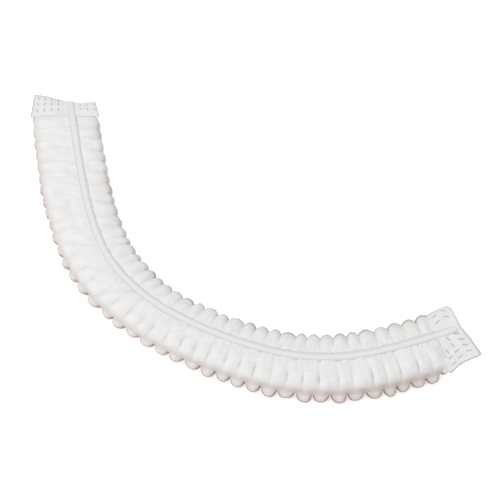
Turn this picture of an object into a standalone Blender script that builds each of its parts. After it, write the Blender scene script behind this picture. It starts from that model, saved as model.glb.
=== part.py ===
"""A bouffant cap in its packed form: a folded, gathered strip of nonwoven with its elastic.

The strip lies on a surface in an open arc. Distances run along the elastic, from the end of the
first tab to the end of the last one. Across the strip, minus is the hollow (inner) side of the arc
and plus is its bulging (outer) side. Lengths are in metres, +Z is up, and the origin is under the
middle of the whole strip, on the surface that it lies on.
"""

import math
from collections import namedtuple

import bmesh
import bpy
import numpy as np
from mathutils import Matrix, Vector

# Strip
CAP_LENGTH = 0.2945
INNER_REACH = 0.0142
OUTER_REACH = 0.0218
STRIP_HEIGHT = 0.0105

# Cloth
CLOTH_WALL = 0.001
PUFF_COUNT = 38
SCALLOP_DEPTH = 0.0028
CREASE_DEPTH = 0.0016
UNEVENNESS = 0.10
CLEARANCE = 0.0003

# Elastic and the hem that carries it
ELASTIC_WIDTH = 0.0038
ELASTIC_THICKNESS = 0.0008
HEM_MARGIN = 0.0005

# Welded tabs and the dashes pressed into them
FIRST_TAB_LENGTH = 0.0125
LAST_TAB_LENGTH = 0.0110
TAB_THICKNESS = 0.0012
TAPER_LENGTH = 0.0028
TAB_OVERLAP = 0.0010
DASH_LENGTH = 0.0028
DASH_WIDTH = 0.0008
DASH_DEPTH = 0.0003
DASH_ROW_PITCH = 0.0037

# The puffs: how finely they are drawn, how round they are, how much of each one's length is free of
# its creases' sinking, how near the surface the cloth lies flat on it, and the shares of a pitch
# beside a tab over which the layers come free
STATIONS_PER_PUFF = 4
ROUNDNESS = 0.62
FLATTENED = 0.35
PRESS_DEPTH = 0.0001
FREED_BY = 0.9
END_SHARES = (0.25, 0.5)

# The pressed ends: the layers in them, their width and the tabs' as shares of the reach, the height of
# their tops as a share of the strip's, and the rows of points between a tab's root and its end
LAYER_COUNT = 4
PRESSED_WIDTH = 0.94
TAB_WIDTH = 0.97
ROOT_TOP = 0.86
TAB_ROWS = 4

# The arc: the heading in degrees from +X at shares of the strip's length.
Bend = namedtuple("Bend", "share heading")
BENDS = (
    Bend(0.00, -80.0),
    Bend(0.09, -80.5),
    Bend(0.17, -79.0),
    Bend(0.26, -74.5),
    Bend(0.32, -67.5),
    Bend(0.38, -53.5),
    Bend(0.44, -43.0),
    Bend(0.51, -31.5),
    Bend(0.61, -23.0),
    Bend(0.69, -15.5),
    Bend(0.80, 4.5),
    Bend(0.86, 14.5),
    Bend(1.00, 22.5),
)

# The strip's form along it: its height, its scallops' depth, its reach on either side and that of the
# upper puffs' shoulder, all as shares of the named sizes, and its lean, how far a crease runs back
# along the strip for each metre outwards.
Form = namedtuple("Form", "share height scallop inner outer shoulder lean")
FORMS = (
    Form(0.00, 0.90, 0.40, 0.98, 0.97, 1.10, 0.17),
    Form(0.20, 0.91, 0.50, 1.00, 0.98, 1.10, 0.12),
    Form(0.30, 0.92, 0.70, 1.05, 0.93, 1.08, 0.18),
    Form(0.40, 0.94, 0.90, 1.06, 0.90, 1.04, 0.15),
    Form(0.50, 0.95, 1.00, 0.98, 0.92, 1.00, 0.05),
    Form(0.62, 0.97, 1.00, 0.98, 0.93, 0.98, 0.00),
    Form(0.72, 0.99, 1.00, 1.06, 0.97, 0.96, 0.00),
    Form(0.85, 1.00, 1.00, 1.08, 1.00, 0.96, 0.02),
    Form(1.00, 0.98, 0.90, 1.02, 1.00, 0.96, 0.07),
)

# The folded sheet's section, from the upper hem to the lower one. across is a share of the reach on
# that side, height a share of the strip's height, level the layer that it ends in at a tab, counted
# from the bottom, and bulge and rise are the shares of SCALLOP_DEPTH and CREASE_DEPTH that are lost
# in a crease. upper is the share of the shoulder's own reach that it takes. phase shifts the puffs
# along the strip by a share of their pitch: the lower row fills the gaps of the upper one.
INNER_SPAN = INNER_REACH - CLOTH_WALL / 2
OUTER_SPAN = OUTER_REACH - CLOTH_WALL / 2
HEM_HALF = ELASTIC_WIDTH / 2 + HEM_MARGIN
Knot = namedtuple("Knot", "across height level bulge rise upper phase")
SECTION = (
    Knot(-HEM_HALF / INNER_SPAN, 0.86, 3.0, 0.0, 0.0, 0.0, 0.0),
    Knot(HEM_HALF / OUTER_SPAN, 0.86, 3.0, 0.0, 0.0, 0.0, 0.0),
    Knot(0.42, 0.98, 3.0, 0.0, 0.6, 0.6, 0.0),
    Knot(0.69, 0.97, 3.0, 0.1, 1.0, 1.0, 0.0),
    Knot(0.86, 0.82, 3.0, 0.6, 0.3, 1.0, 0.0),
    Knot(0.89, 0.65, 2.1, 0.9, 0.1, 1.0, 0.0),
    Knot(0.72, 0.53, 2.0, 0.4, 0.0, 1.0, 0.0),
    Knot(-0.25, 0.69, 2.0, 0.0, 0.0, 0.0, 0.0),
    Knot(-0.60, 0.79, 2.0, 0.1, 0.6, 0.0, 0.0),
    Knot(-0.90, 0.65, 2.0, 0.8, 0.3, 0.0, 0.0),
    Knot(-1.00, 0.44, 1.5, 1.0, 0.0, 0.0, 0.0),
    Knot(-0.82, 0.26, 1.0, 0.6, 0.0, 0.0, 0.0),
    Knot(0.64, 0.31, 1.0, 0.0, 0.0, 0.0, 0.0),
    Knot(0.87, 0.34, 1.0, 1.0, 0.2, 0.0, 0.5),
    Knot(1.00, 0.18, 0.5, 1.3, 0.0, 0.0, 0.5),
    Knot(0.84, 0.00, 0.0, 0.9, -0.3, 0.0, 0.5),
    Knot(-0.80, 0.00, 0.0, 0.5, -0.3, 0.0, 0.5),
)

# Each tab's end edge, from its inner corner over the elastic to its outer corner: how far the corner
# lies across, how far out it reaches, as a share of the tab's length, and its height, as a share of
# STRIP_HEIGHT.
Edge = namedtuple("Edge", "side across reach height")
FIRST_EDGE = (
    Edge(-1.0, 0.96, 1.08, 0.18),
    Edge(0.0, 1.00, 1.06, 0.28),
    Edge(1.0, 0.84, 1.29, 0.46),
)
LAST_EDGE = (
    Edge(-1.0, 0.97, 1.10, 0.85),
    Edge(0.0, 1.00, 1.14, 0.84),
    Edge(1.0, 0.84, 1.50, 0.95),
)

# The dashes of a tab's weld on either side of the elastic: the distance of the first row from the
# elastic's middle, in row pitches, the number of rows, and the distances of its columns from the root,
# as shares of the tab's length.
Weld = namedtuple("Weld", "side first_row rows columns")
FIRST_WELDS = (
    Weld(-1, 1.4, 3, (0.34, 0.76)),
    Weld(1, 1.8, 4, (0.22, 0.54, 0.85)),
)
LAST_WELDS = (
    Weld(-1, 1.9, 2, (0.30, 0.68)),
    Weld(1, 1.4, 4, (0.41, 0.80)),
)
Tab = namedtuple("Tab", "name root length outward edge welds")
TABS = (
    Tab("tab_first", FIRST_TAB_LENGTH, FIRST_TAB_LENGTH, -1, FIRST_EDGE, FIRST_WELDS),
    Tab("tab_last", CAP_LENGTH - LAST_TAB_LENGTH, LAST_TAB_LENGTH, 1, LAST_EDGE, LAST_WELDS),
)
TAB_COLUMNS = (-1.0, -0.5, 0.0, 0.5, 1.0)

NONWOVEN_WHITE = (0.86, 0.86, 0.85, 1.0)
NONWOVEN_ROUGHNESS = 0.9
ELASTIC_WHITE = (0.80, 0.80, 0.76, 1.0)
ELASTIC_ROUGHNESS = 0.8

GATHER_START = FIRST_TAB_LENGTH
GATHER_END = CAP_LENGTH - LAST_TAB_LENGTH
PUFF_PITCH = (GATHER_END - GATHER_START) / PUFF_COUNT
LAYER_PITCH = CLOTH_WALL + CLEARANCE
ROOT_THICKNESS = LAYER_COUNT * LAYER_PITCH + CLEARANCE


def column(table, name):
    """One named column of a table, as a list."""
    return [getattr(row, name) for row in table]


def read_table(table, key, name, at):
    """A column of a table, between its rows."""
    return np.interp(at, column(table, key), column(table, name))


LINE_STEPS = 600
LINE_DISTANCES = np.linspace(-FIRST_TAB_LENGTH, CAP_LENGTH + LAST_TAB_LENGTH, LINE_STEPS)
LINE_HEADINGS = np.radians(read_table(BENDS, "share", "heading", LINE_DISTANCES / CAP_LENGTH))


def running_sum(slopes):
    """The integral of a slope along the line, by the trapezoid rule."""
    steps = np.diff(LINE_DISTANCES) * (slopes[1:] + slopes[:-1]) / 2
    return np.concatenate(([0.0], np.cumsum(steps)))


LINE_X = running_sum(np.cos(LINE_HEADINGS))
LINE_Y = running_sum(np.sin(LINE_HEADINGS))


def form(name, distance):
    return read_table(FORMS, "share", name, distance / CAP_LENGTH)


def place(distance, across, height):
    """The point at a distance along the elastic, so far across the strip and so high."""
    distance = distance - form("lean", distance) * across
    x = np.interp(distance, LINE_DISTANCES, LINE_X)
    y = np.interp(distance, LINE_DISTANCES, LINE_Y)
    heading = np.interp(distance, LINE_DISTANCES, LINE_HEADINGS)
    return Vector((x + across * math.sin(heading), y - across * math.cos(heading), height))


def ease(share):
    """0 to 1 with a soft start and a soft end."""
    share = min(max(share, 0.0), 1.0)
    return share * share * (3.0 - 2.0 * share)


def strip_height(distance):
    return STRIP_HEIGHT * form("height", distance)


def root_middle(distance):
    """The height of the middle of the layers where a tab presses them together."""
    return ROOT_TOP * strip_height(distance) - ROOT_THICKNESS / 2


def puff(distance, phase):
    """0 in a crease between two puffs and about 1 over the middle of a puff."""
    turn = (distance - GATHER_START) / PUFF_PITCH + phase
    fullness = 1.0 - UNEVENNESS * (0.5 + 0.5 * math.sin(math.floor(turn) ** 2))
    return fullness * abs(math.sin(math.pi * turn)) ** ROUNDNESS


def freedom(distance):
    """0 where a tab presses the layers together and 1 where they are free."""
    from_tab = min(distance - GATHER_START, GATHER_END - distance)
    return ease(from_tab / (FREED_BY * PUFF_PITCH))


def cloth_height(distance, share):
    """The height of the middle of the cloth at a share of the strip's height."""
    return CLOTH_WALL / 2 + share * (strip_height(distance) - CLOTH_WALL)


def sheet_point(distance, knot):
    """A point in the middle of the cloth's wall."""
    free = freedom(distance)
    lost = 1.0 - puff(distance, knot.phase)
    scallop = SCALLOP_DEPTH * form("scallop", distance)
    reach = OUTER_SPAN * form("outer", distance) if knot.across > 0 else INNER_SPAN * form("inner", distance)
    reach *= 1.0 + (form("shoulder", distance) - 1.0) * knot.upper
    across = knot.across * reach - math.copysign(knot.bulge * scallop * lost, knot.across)
    across *= PRESSED_WIDTH + (1.0 - PRESSED_WIDTH) * free
    sunk = knot.rise * lost
    if knot.rise < 0:
        sunk = knot.rise * max(lost - FLATTENED, 0.0)
    height = cloth_height(distance, knot.height) - sunk * CREASE_DEPTH
    pressed = root_middle(distance) + (knot.level - (LAYER_COUNT - 1) / 2) * LAYER_PITCH
    return place(distance, across, pressed + (height - pressed) * free)


def tab_thickness(from_root):
    thinned = min(max(from_root / TAPER_LENGTH, 0.0), 1.0)
    return ROOT_THICKNESS + (TAB_THICKNESS - ROOT_THICKNESS) * thinned


def tab_point(tab, from_root, side):
    """A point in the middle of a tab's thickness, so far out from its root, at a share across."""
    share = max(from_root, 0.0) / tab.length
    across = TAB_WIDTH * side * (OUTER_REACH if side > 0 else INNER_REACH)
    across *= 1.0 + (read_table(tab.edge, "side", "across", side) - 1.0) * share
    reach = 1.0 + (read_table(tab.edge, "side", "reach", side) - 1.0) * share
    root_top = root_middle(tab.root) + ROOT_THICKNESS / 2
    end_top = STRIP_HEIGHT * read_table(tab.edge, "side", "height", side)
    top = root_top + (end_top - root_top) * share ** 2
    height = top - tab_thickness(from_root) / 2
    return place(tab.root + tab.outward * from_root * reach, across, height)


def tab_stations(tab):
    """Distances from a tab's root, from inside the gathers out to its end."""
    flat = np.linspace(TAPER_LENGTH, tab.length, TAB_ROWS)
    return [-TAB_OVERLAP, 0.0] + list(flat)


def new_collection(name):
    made = bpy.data.collections.new(name)
    bpy.context.scene.collection.children.link(made)
    return made


def new_material(name, color, roughness):
    made = bpy.data.materials.new(name)
    made.use_nodes = True
    shader = made.node_tree.nodes["Principled BSDF"]
    shader.inputs["Base Color"].default_value = color
    shader.inputs["Roughness"].default_value = roughness
    shader.inputs["Metallic"].default_value = 0.0
    return made


def new_object(name, mesh, home, origin):
    made = bpy.data.objects.new(name, mesh)
    made.parent = origin
    home.objects.link(made)
    return made


def mark_as_helper(helper):
    helper.hide_render = True
    helper.display_type = "WIRE"


def bent_grid(name, rows, columns, point, fullness=None):
    """A flat grid whose vertex in column i and row j is moved to point(i, j).

    fullness(j) is the share of the wall's thickness in row j, kept as the first vertex group.
    """
    shape = bmesh.new()
    bmesh.ops.create_grid(shape, x_segments=columns - 1, y_segments=rows - 1, size=1.0)
    weights = shape.verts.layers.deform.verify() if fullness else None
    for vertex in shape.verts:
        i = round((vertex.co.x + 1.0) / 2.0 * (columns - 1))
        j = round((vertex.co.y + 1.0) / 2.0 * (rows - 1))
        vertex.co = point(i, j)
        if fullness:
            vertex[weights][0] = fullness(j)
    mesh = bpy.data.meshes.new(name)
    shape.to_mesh(mesh)
    shape.free()
    return mesh


def shaped_mesh(thing):
    """The object's mesh with its modifiers carried out, as a mesh of its own."""
    bpy.context.view_layer.update()
    graph = bpy.context.evaluated_depsgraph_get()
    return bpy.data.meshes.new_from_object(thing.evaluated_get(graph))


def press_flat(mesh):
    """Levels the puffs' undersides where they lie on the surface."""
    for vertex in mesh.vertices:
        if vertex.co.z < PRESS_DEPTH:
            vertex.co.z = 0.0


def thicken(sheet_object, thickness):
    wall = sheet_object.modifiers.new("wall", "SOLIDIFY")
    wall.thickness = thickness
    wall.offset = 0.0
    return wall


def make_tab_stock(tab, home, origin):
    """The block that a welded end is: thick at its root, where the layers meet, and thin beyond."""
    stations = tab_stations(tab)

    def point(i, j):
        return tab_point(tab, stations[j], TAB_COLUMNS[i])

    def fullness(j):
        return tab_thickness(stations[j]) / ROOT_THICKNESS

    mesh = bent_grid(tab.name, len(stations), len(TAB_COLUMNS), point, fullness)
    stock = new_object(tab.name, mesh, home, origin)
    stock.vertex_groups.new(name="fullness")
    thicken(stock, ROOT_THICKNESS).vertex_group = "fullness"
    mark_as_helper(stock)
    return stock


def dash_places(tab):
    """Distance from the root and share across of each pressed dash."""
    places = []
    for weld in tab.welds:
        reach = TAB_WIDTH * (OUTER_REACH if weld.side > 0 else INNER_REACH)
        for column_share in weld.columns:
            for row in range(weld.rows):
                across = weld.side * (weld.first_row + row) * DASH_ROW_PITCH
                places.append((column_share * tab.length, across / reach))
    return places


def make_dash_cutter(tab, home, origin):
    shape = bmesh.new()
    for from_root, across in dash_places(tab):
        middle = tab_point(tab, from_root, across)
        along = (tab_point(tab, from_root + DASH_LENGTH / 2, across) - middle).normalized()
        up = Vector((0.0, 0.0, 1.0))
        sideways = up.cross(along).normalized()
        up = along.cross(sideways)
        turn = Matrix((along, sideways, up)).transposed().to_4x4()
        top = middle + up * TAB_THICKNESS / 2
        size = Matrix.Diagonal((DASH_LENGTH, DASH_WIDTH, 2 * DASH_DEPTH, 1.0))
        bmesh.ops.create_cube(shape, size=1.0, matrix=Matrix.Translation(top) @ turn @ size)
    mesh = bpy.data.meshes.new(tab.name + "_dashes")
    shape.to_mesh(mesh)
    shape.free()
    cutter = new_object(tab.name + "_dashes", mesh, home, origin)
    mark_as_helper(cutter)
    return cutter


def combine(sheet_object, other, operation):
    step = sheet_object.modifiers.new(other.name, "BOOLEAN")
    step.object = other
    step.operation = operation
    step.solver = "EXACT"


def make_sheet(home, helpers, origin):
    steps = PUFF_COUNT * STATIONS_PER_PUFF
    distances = list(np.linspace(GATHER_START, GATHER_END, steps + 1))
    inside = TAB_OVERLAP / 2
    distances = [GATHER_START - inside] + distances + [GATHER_END + inside]

    def point(i, j):
        return sheet_point(distances[j], SECTION[i])

    sheet = new_object("cap_sheet", bent_grid("folds", len(distances), len(SECTION), point), home, origin)
    thicken(sheet, CLOTH_WALL)
    mesh = shaped_mesh(sheet)
    press_flat(mesh)
    sheet.modifiers.clear()
    sheet.data = mesh
    for tab in TABS:
        combine(sheet, make_tab_stock(tab, helpers, origin), "UNION")
    for tab in TABS:
        combine(sheet, make_dash_cutter(tab, helpers, origin), "DIFFERENCE")
    mesh.materials.append(new_material("nonwoven", NONWOVEN_WHITE, NONWOVEN_ROUGHNESS))
    return sheet


def make_elastic(home, origin):
    """The flat elastic, which lies on the upper hem and runs out over both tabs."""
    first, last = TABS
    lift = CLEARANCE + ELASTIC_THICKNESS / 2
    rows = [(first, from_root) for from_root in reversed(tab_stations(first)[1:])]
    rows += [(None, GATHER_START + PUFF_PITCH * k) for k in END_SHARES]
    rows += [(None, GATHER_START + PUFF_PITCH * k) for k in range(1, PUFF_COUNT)]
    rows += [(None, GATHER_END - PUFF_PITCH * k) for k in reversed(END_SHARES)]
    rows += [(last, from_root) for from_root in tab_stations(last)[1:]]

    def point(i, j):
        tab, distance = rows[j]
        across = (i - 0.5) * ELASTIC_WIDTH
        if tab:
            span = OUTER_REACH if across > 0 else INNER_REACH
            below = tab_point(tab, distance, across / (TAB_WIDTH * span))
            return below + Vector((0.0, 0.0, tab_thickness(distance) / 2 + lift))
        hem = sheet_point(distance, SECTION[1]).z + CLOTH_WALL / 2
        return place(distance, across, hem + lift)

    mesh = bent_grid("elastic_band", len(rows), 2, point)
    band = new_object("elastic_band", mesh, home, origin)
    thicken(band, ELASTIC_THICKNESS)
    mesh.materials.append(new_material("elastic", ELASTIC_WHITE, ELASTIC_ROUGHNESS))
    return band


def settle(origin, pieces):
    """Moves everything so that the frame's origin is under the middle of the strip."""
    bpy.context.view_layer.update()
    graph = bpy.context.evaluated_depsgraph_get()
    corners = []
    for piece in pieces:
        shaped = piece.evaluated_get(graph)
        corners += [shaped.matrix_world @ Vector(corner) for corner in shaped.bound_box]
    lowest = [min(corner[axis] for corner in corners) for axis in range(3)]
    highest = [max(corner[axis] for corner in corners) for axis in range(3)]
    middle = [(low + high) / 2 for low, high in zip(lowest, highest)]
    origin.location = (-middle[0], -middle[1], -lowest[2])


def main():
    for old in list(bpy.data.objects):
        bpy.data.objects.remove(old)
    parts = new_collection("bouffant_cap")
    helpers = new_collection("cutters")
    origin = bpy.data.objects.new("strip_origin", None)
    parts.objects.link(origin)
    sheet = make_sheet(parts, helpers, origin)
    band = make_elastic(parts, origin)
    settle(origin, (sheet, band))


main()
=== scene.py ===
# %% [markdown]
# # A bouffant cap in its packed form
# A new bouffant cap is a narrow strip: one wide sheet of thin nonwoven, folded lengthwise into
# layers, gathered by a flat elastic and welded at both ends. Pulled open, it becomes a cap.
# This lesson dresses the CAD model of such a strip. The CAD solids are loaded first and stay where
# they are, because they carry the weight and the collisions, and the fine cloth is laid over them.

# %% The frame
import math
from collections import namedtuple

import bpy
import numpy as np
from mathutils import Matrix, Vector, noise


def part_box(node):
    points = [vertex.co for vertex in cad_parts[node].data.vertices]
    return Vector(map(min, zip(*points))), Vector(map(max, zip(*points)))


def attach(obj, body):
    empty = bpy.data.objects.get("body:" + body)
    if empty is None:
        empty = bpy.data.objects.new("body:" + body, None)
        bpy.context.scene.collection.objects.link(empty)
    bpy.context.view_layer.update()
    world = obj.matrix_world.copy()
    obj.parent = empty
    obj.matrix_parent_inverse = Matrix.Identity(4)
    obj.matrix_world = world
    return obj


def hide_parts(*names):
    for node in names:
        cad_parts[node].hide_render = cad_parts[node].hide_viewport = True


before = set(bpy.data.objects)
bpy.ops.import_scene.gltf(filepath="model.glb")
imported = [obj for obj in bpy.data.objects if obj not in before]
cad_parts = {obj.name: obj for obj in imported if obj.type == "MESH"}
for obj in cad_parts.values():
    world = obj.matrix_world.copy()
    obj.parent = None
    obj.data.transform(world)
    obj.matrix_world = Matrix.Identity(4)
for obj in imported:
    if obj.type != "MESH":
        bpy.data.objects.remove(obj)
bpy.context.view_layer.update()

# %% [markdown]
# ## The strip's line
# The strip lies in an open arc. It could be drawn as a curve object, but the cloth, the elastic and
# the weld dashes all have to follow it, so the arc is kept as a table of headings and worked out as
# a row of points. Any piece can then say "so far along, so far across, so high".
# A second table gives the strip's form along it: its height, its scallops' depth, its reach on the
# hollow (inner) and the bulging (outer) side, its lean, which is how far a crease runs back along
# the strip for each metre outwards, how crisp its puffs are, how far the upper puffs' shoulder and
# the lower row stand out, how deep its creases are and how strong the painted shade on its folds is.

# %% The named sizes, in metres
CAP_LENGTH = 0.2945
INNER_REACH = 0.0142
OUTER_REACH = 0.0218
STRIP_HEIGHT = 0.0105
ELASTIC_WIDTH = 0.0038
FIRST_TAB_LENGTH = 0.0125
LAST_TAB_LENGTH = 0.0110
PUFF_COUNT = 38
GATHER_START = FIRST_TAB_LENGTH
GATHER_END = CAP_LENGTH - LAST_TAB_LENGTH
PUFF_PITCH = (GATHER_END - GATHER_START) / PUFF_COUNT
CLOTH_THICKNESS = 0.00025
print(f"{PUFF_COUNT} puffs, one every {1000 * PUFF_PITCH:.1f} mm")

# %% The arc and the form along it
Bend = namedtuple("Bend", "share heading")
BENDS = (
    Bend(0.00, -80.0),
    Bend(0.09, -80.5),
    Bend(0.17, -79.0),
    Bend(0.26, -74.5),
    Bend(0.32, -67.5),
    Bend(0.38, -53.5),
    Bend(0.44, -43.0),
    Bend(0.51, -31.5),
    Bend(0.61, -23.0),
    Bend(0.69, -15.5),
    Bend(0.80, 4.5),
    Bend(0.86, 14.5),
    Bend(1.00, 22.5),
)

Form = namedtuple("Form", "share height scallop inner outer lean crisp shoulder low crease dusk")
FORMS = (
    Form(0.00, 0.90, 0.40, 0.98, 0.97, 0.17, 0.00, 1.16, 1.02, 0.40, 1.30),
    Form(0.12, 0.90, 0.50, 0.99, 0.97, 0.14, 0.00, 1.18, 1.03, 0.35, 1.50),
    Form(0.20, 0.91, 0.55, 1.00, 0.98, 0.12, 0.05, 1.18, 1.03, 0.40, 1.50),
    Form(0.30, 0.92, 0.70, 1.05, 0.96, 0.18, 0.15, 1.14, 1.01, 0.55, 1.40),
    Form(0.40, 0.94, 0.90, 1.06, 0.92, 0.15, 0.30, 1.06, 1.00, 0.75, 1.25),
    Form(0.50, 0.95, 1.00, 0.98, 0.92, 0.05, 0.60, 1.00, 0.985, 0.90, 1.20),
    Form(0.62, 0.97, 1.00, 0.98, 0.93, 0.00, 0.90, 0.98, 0.98, 1.00, 1.30),
    Form(0.72, 0.99, 1.00, 1.06, 0.97, 0.00, 1.00, 0.96, 0.98, 1.00, 1.45),
    Form(0.85, 1.00, 1.00, 1.08, 1.00, 0.02, 1.00, 0.96, 0.98, 1.00, 1.70),
    Form(1.00, 0.98, 0.90, 1.02, 1.00, 0.07, 0.80, 0.96, 0.99, 0.80, 1.60),
)


def column(table, name):
    """One named column of a table, as a list."""
    return [getattr(row, name) for row in table]


def read_table(table, key, name, at):
    """A column of a table, between its rows."""
    return np.interp(at, column(table, key), column(table, name))


def form(name, distance):
    """One column of the strip's form, so far along the elastic."""
    return read_table(FORMS, "share", name, distance / CAP_LENGTH)


LINE_STEPS = 600
LINE = np.linspace(-FIRST_TAB_LENGTH, CAP_LENGTH + LAST_TAB_LENGTH, LINE_STEPS)
HEADINGS = np.radians(read_table(BENDS, "share", "heading", LINE / CAP_LENGTH))


def running_sum(slopes):
    """The integral of a slope along the line, by the trapezoid rule."""
    steps = np.diff(LINE) * (slopes[1:] + slopes[:-1]) / 2
    return np.concatenate(([0.0], np.cumsum(steps)))


LINE_X = running_sum(np.cos(HEADINGS))
LINE_Y = running_sum(np.sin(HEADINGS))
print(f"the line spans {1000 * np.ptp(LINE_X):.0f} by {1000 * np.ptp(LINE_Y):.0f} mm")

# %% [markdown]
# ## From the strip to the room
# The line starts at its own zero, while the frame's origin is under the middle of the strip. The
# shift between them could be typed in. It is measured instead: the elastic is the same ribbon in
# the CAD model and here, so the middles of their two boxes have to meet.

# %% Placing a point


def along_line(distance, across):
    """The x and y of points so far along the elastic and so far across it, before the shift."""
    distance = distance - form("lean", distance) * across
    heading = np.interp(distance, LINE, HEADINGS)
    x = np.interp(distance, LINE, LINE_X) + across * np.sin(heading)
    y = np.interp(distance, LINE, LINE_Y) - across * np.cos(heading)
    return x, y


def box_middle(low, high):
    """The x and y of the middle of a box, from its lowest and highest corners."""
    return [(low[axis] + high[axis]) / 2 for axis in range(2)]


MEASURE_STEPS = 400
ribbon_along, ribbon_across = np.meshgrid(
    np.linspace(0.0, CAP_LENGTH, MEASURE_STEPS), (-ELASTIC_WIDTH / 2, ELASTIC_WIDTH / 2)
)
ribbon_x, ribbon_y = along_line(ribbon_along, ribbon_across)
ribbon_middle = box_middle((ribbon_x.min(), ribbon_y.min()), (ribbon_x.max(), ribbon_y.max()))
cad_middle = box_middle(*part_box("elastic_band"))
SHIFT = [to - here for to, here in zip(cad_middle, ribbon_middle)]


def place(distance, across, height):
    """Points in the frame, so far along the elastic, so far across the strip and so high."""
    x, y = along_line(distance, across)
    return np.stack((x + SHIFT[0], y + SHIFT[1], np.broadcast_to(height, x.shape)), axis=-1)


print("shift in mm:", [round(1000 * value, 2) for value in SHIFT])

# %% [markdown]
# ## The folds
# Seen from its end, the sheet starts at the upper hem under the elastic, runs out to the bulging
# side of the arc, drops over the lower puffs, comes back along the bottom, climbs the hollow side
# and ends in a fold under the hem. A cloth simulation could fold it, but it would not land on the
# folds of the photograph. Here one short table gives the turning points, a smooth curve is drawn
# through them, and every station repeats that curve.
# Each turning point says how far across and how high it is, as shares of the reach and the height,
# and the level of the layer that it ends in at a tab. Bulge and rise say how much it gives way in a
# crease between two puffs, lower and upper how much it belongs to either row of puffs, shade how
# much painted shade its colour gets, and grain how close together the points are drawn there.

# %% The turning points of the section
HEM_MARGIN = 0.0005
HEM_HALF = ELASTIC_WIDTH / 2 + HEM_MARGIN
Knot = namedtuple("Knot", "across height level bulge rise lower upper shade grain")
SECTION = (
    Knot(-HEM_HALF / INNER_REACH, 0.87, 3.0, 0.0, 0.0, 0.0, 0.0, 0.0, 1.0),
    Knot(0.00, 0.88, 3.0, 0.0, 0.0, 0.0, 0.0, 0.0, 1.0),
    Knot(HEM_HALF / OUTER_REACH, 0.885, 3.0, 0.0, 0.2, 0.0, 0.0, 0.0, 1.0),
    Knot(0.28, 0.94, 3.0, 0.0, 0.3, 0.0, 0.3, 0.0, 1.0),
    Knot(0.46, 0.98, 3.0, 0.0, 0.8, 0.0, 0.7, 0.0, 1.2),
    Knot(0.63, 0.945, 3.0, 0.05, 1.0, 0.0, 1.0, 0.04, 1.2),
    Knot(0.72, 0.85, 2.8, 0.1, 0.9, 0.0, 1.0, 0.14, 1.2),
    Knot(0.785, 0.70, 2.5, 0.15, 0.5, 0.0, 1.0, 0.35, 1.2),
    Knot(0.825, 0.57, 2.2, 0.05, 0.15, 0.0, 1.0, 0.58, 1.2),
    Knot(0.86, 0.48, 1.9, 0.0, 0.0, 0.3, 0.5, 0.58, 1.2),
    Knot(0.89, 0.42, 1.6, 0.6, 0.2, 1.0, 0.0, 0.44, 1.3),
    Knot(0.945, 0.34, 1.2, 1.3, 0.3, 1.0, 0.0, 0.20, 1.3),
    Knot(0.985, 0.24, 0.9, 1.75, 0.1, 1.0, 0.0, 0.30, 1.3),
    Knot(1.00, 0.13, 0.5, 1.95, 0.0, 1.0, 0.0, 0.60, 1.3),
    Knot(0.95, 0.03, 0.2, 2.0, -0.1, 1.0, 0.0, 0.8, 1.0),
    Knot(0.84, 0.00, 0.0, 1.4, -0.25, 1.0, 0.0, 0.2, 0.7),
    Knot(0.40, 0.00, 0.0, 0.1, -0.25, 1.0, 0.0, 0.0, 0.4),
    Knot(-0.40, 0.00, 0.0, 0.1, -0.25, 0.0, 0.0, 0.0, 0.4),
    Knot(-0.80, 0.00, 0.0, 0.6, -0.25, 0.0, 0.0, 0.2, 0.9),
    Knot(-0.93, 0.08, 0.4, 0.9, -0.1, 0.0, 0.0, 0.3, 1.0),
    Knot(-0.99, 0.26, 0.8, 1.0, 0.0, 0.0, 0.0, 0.4, 1.0),
    Knot(-1.00, 0.46, 1.2, 1.0, 0.0, 0.0, 0.0, 0.7, 1.2),
    Knot(-0.94, 0.63, 1.6, 0.9, 0.4, 0.0, 0.0, 1.10, 1.2),
    Knot(-0.80, 0.76, 1.9, 0.5, 0.8, 0.0, 0.0, 0.26, 1.2),
    Knot(-0.52, 0.865, 2.0, 0.1, 0.7, 0.0, 0.0, 0.05, 1.0),
    Knot(-0.24, 0.885, 2.0, 0.0, 0.2, 0.0, 0.0, 0.04, 1.0),
    Knot(-0.175, 0.857, 2.0, 0.0, 0.0, 0.0, 0.0, 0.0, 1.0),
    Knot(-0.06, 0.80, 2.0, 0.0, 0.0, 0.0, 0.0, 0.0, 0.8),
    Knot(0.30, 0.76, 2.0, 0.0, 0.0, 0.0, 0.0, 0.3, 0.3),
    Knot(0.58, 0.72, 2.0, 0.0, 0.0, 0.0, 0.0, 0.3, 0.5),
    Knot(0.66, 0.60, 1.5, 0.0, 0.0, 0.0, 0.0, 0.3, 0.5),
    Knot(0.50, 0.50, 1.0, 0.0, 0.0, 0.0, 0.0, 0.3, 0.3),
    Knot(-0.60, 0.46, 1.0, 0.0, 0.0, 0.0, 0.0, 0.3, 0.3),
)
print(len(SECTION), "turning points")

# %% A smooth curve through them
AROUND = 78
SMOOTH_STEPS = 12


def catmull_rom(values, steps):
    """A smooth curve through a row of values, with so many steps from each to the next."""
    padded = np.concatenate(([2 * values[0] - values[1]], values, [2 * values[-1] - values[-2]]))
    t = np.arange(steps) / steps
    parts = []
    for before, start, end, after in zip(padded, padded[1:], padded[2:], padded[3:]):
        bend = 2 * before - 5 * start + 4 * end - after
        twist = 3 * (start - end) + after - before
        parts.append(start + 0.5 * t * (end - before + t * (bend + t * twist)))
    return np.concatenate(parts + [[values[-1]]])


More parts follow.
